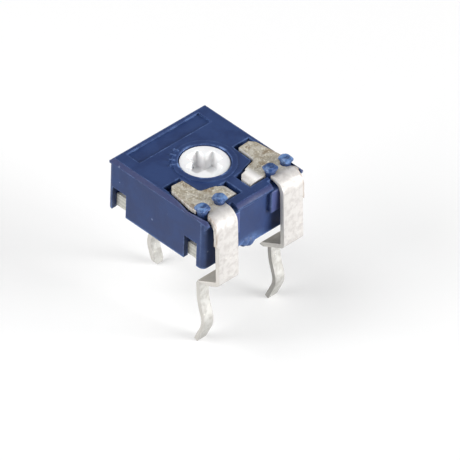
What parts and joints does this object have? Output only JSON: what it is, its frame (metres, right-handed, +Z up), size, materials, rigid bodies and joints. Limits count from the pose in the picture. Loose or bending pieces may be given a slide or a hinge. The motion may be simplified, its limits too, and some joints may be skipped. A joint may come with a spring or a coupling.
{
  "type": "trimmer potentiometer",
  "caption": "Blue moulded trimmer potentiometer with a white cross-slot rotor that turns between two stops and three kinked snap-in pins.",
  "frame": {"origin": "on the rotor's axis, in the plane of the pin tips", "axes": "+Z up along the rotor's axis, -Y towards the side with the two lead strips, +X towards the right-hand lead seen from that side"},
  "size_m": [0.0066, 0.0078, 0.0089],
  "materials": {
    "blue_plastic": "fine satin moulded thermoplastic, slightly scuffed along the edges",
    "white_plastic": "smooth satin white moulding",
    "spring_brass": "rolled spring sheet, bare",
    "laminate": "punched phenolic-paper laminate, matt with a fibrous cut edge",
    "carbon_film": "matt screen-printed carbon film",
    "tinned_steel": "dull tin-plated strip, mottled and stained on the plates, burred at the cut edges"
  },
  "bodies": {
    "body": {"housing": "blue_plastic", "base_board": "laminate", "resistive_track": "carbon_film", "end_terminal_left": "tinned_steel", "end_terminal_right": "tinned_steel", "collector_terminal": "tinned_steel"},
    "turning_rotor": {"rotor": "white_plastic", "wiper_spring": "spring_brass"}
  },
  "joints": [
    {"name": "rotor_turn", "type": "hinge", "parent": "body", "child": "turning_rotor", "pos_m": [0, 0, 0.0075], "axis": [0, 0, 1], "range_deg": [-117.5, 117.5]}
  ]
}
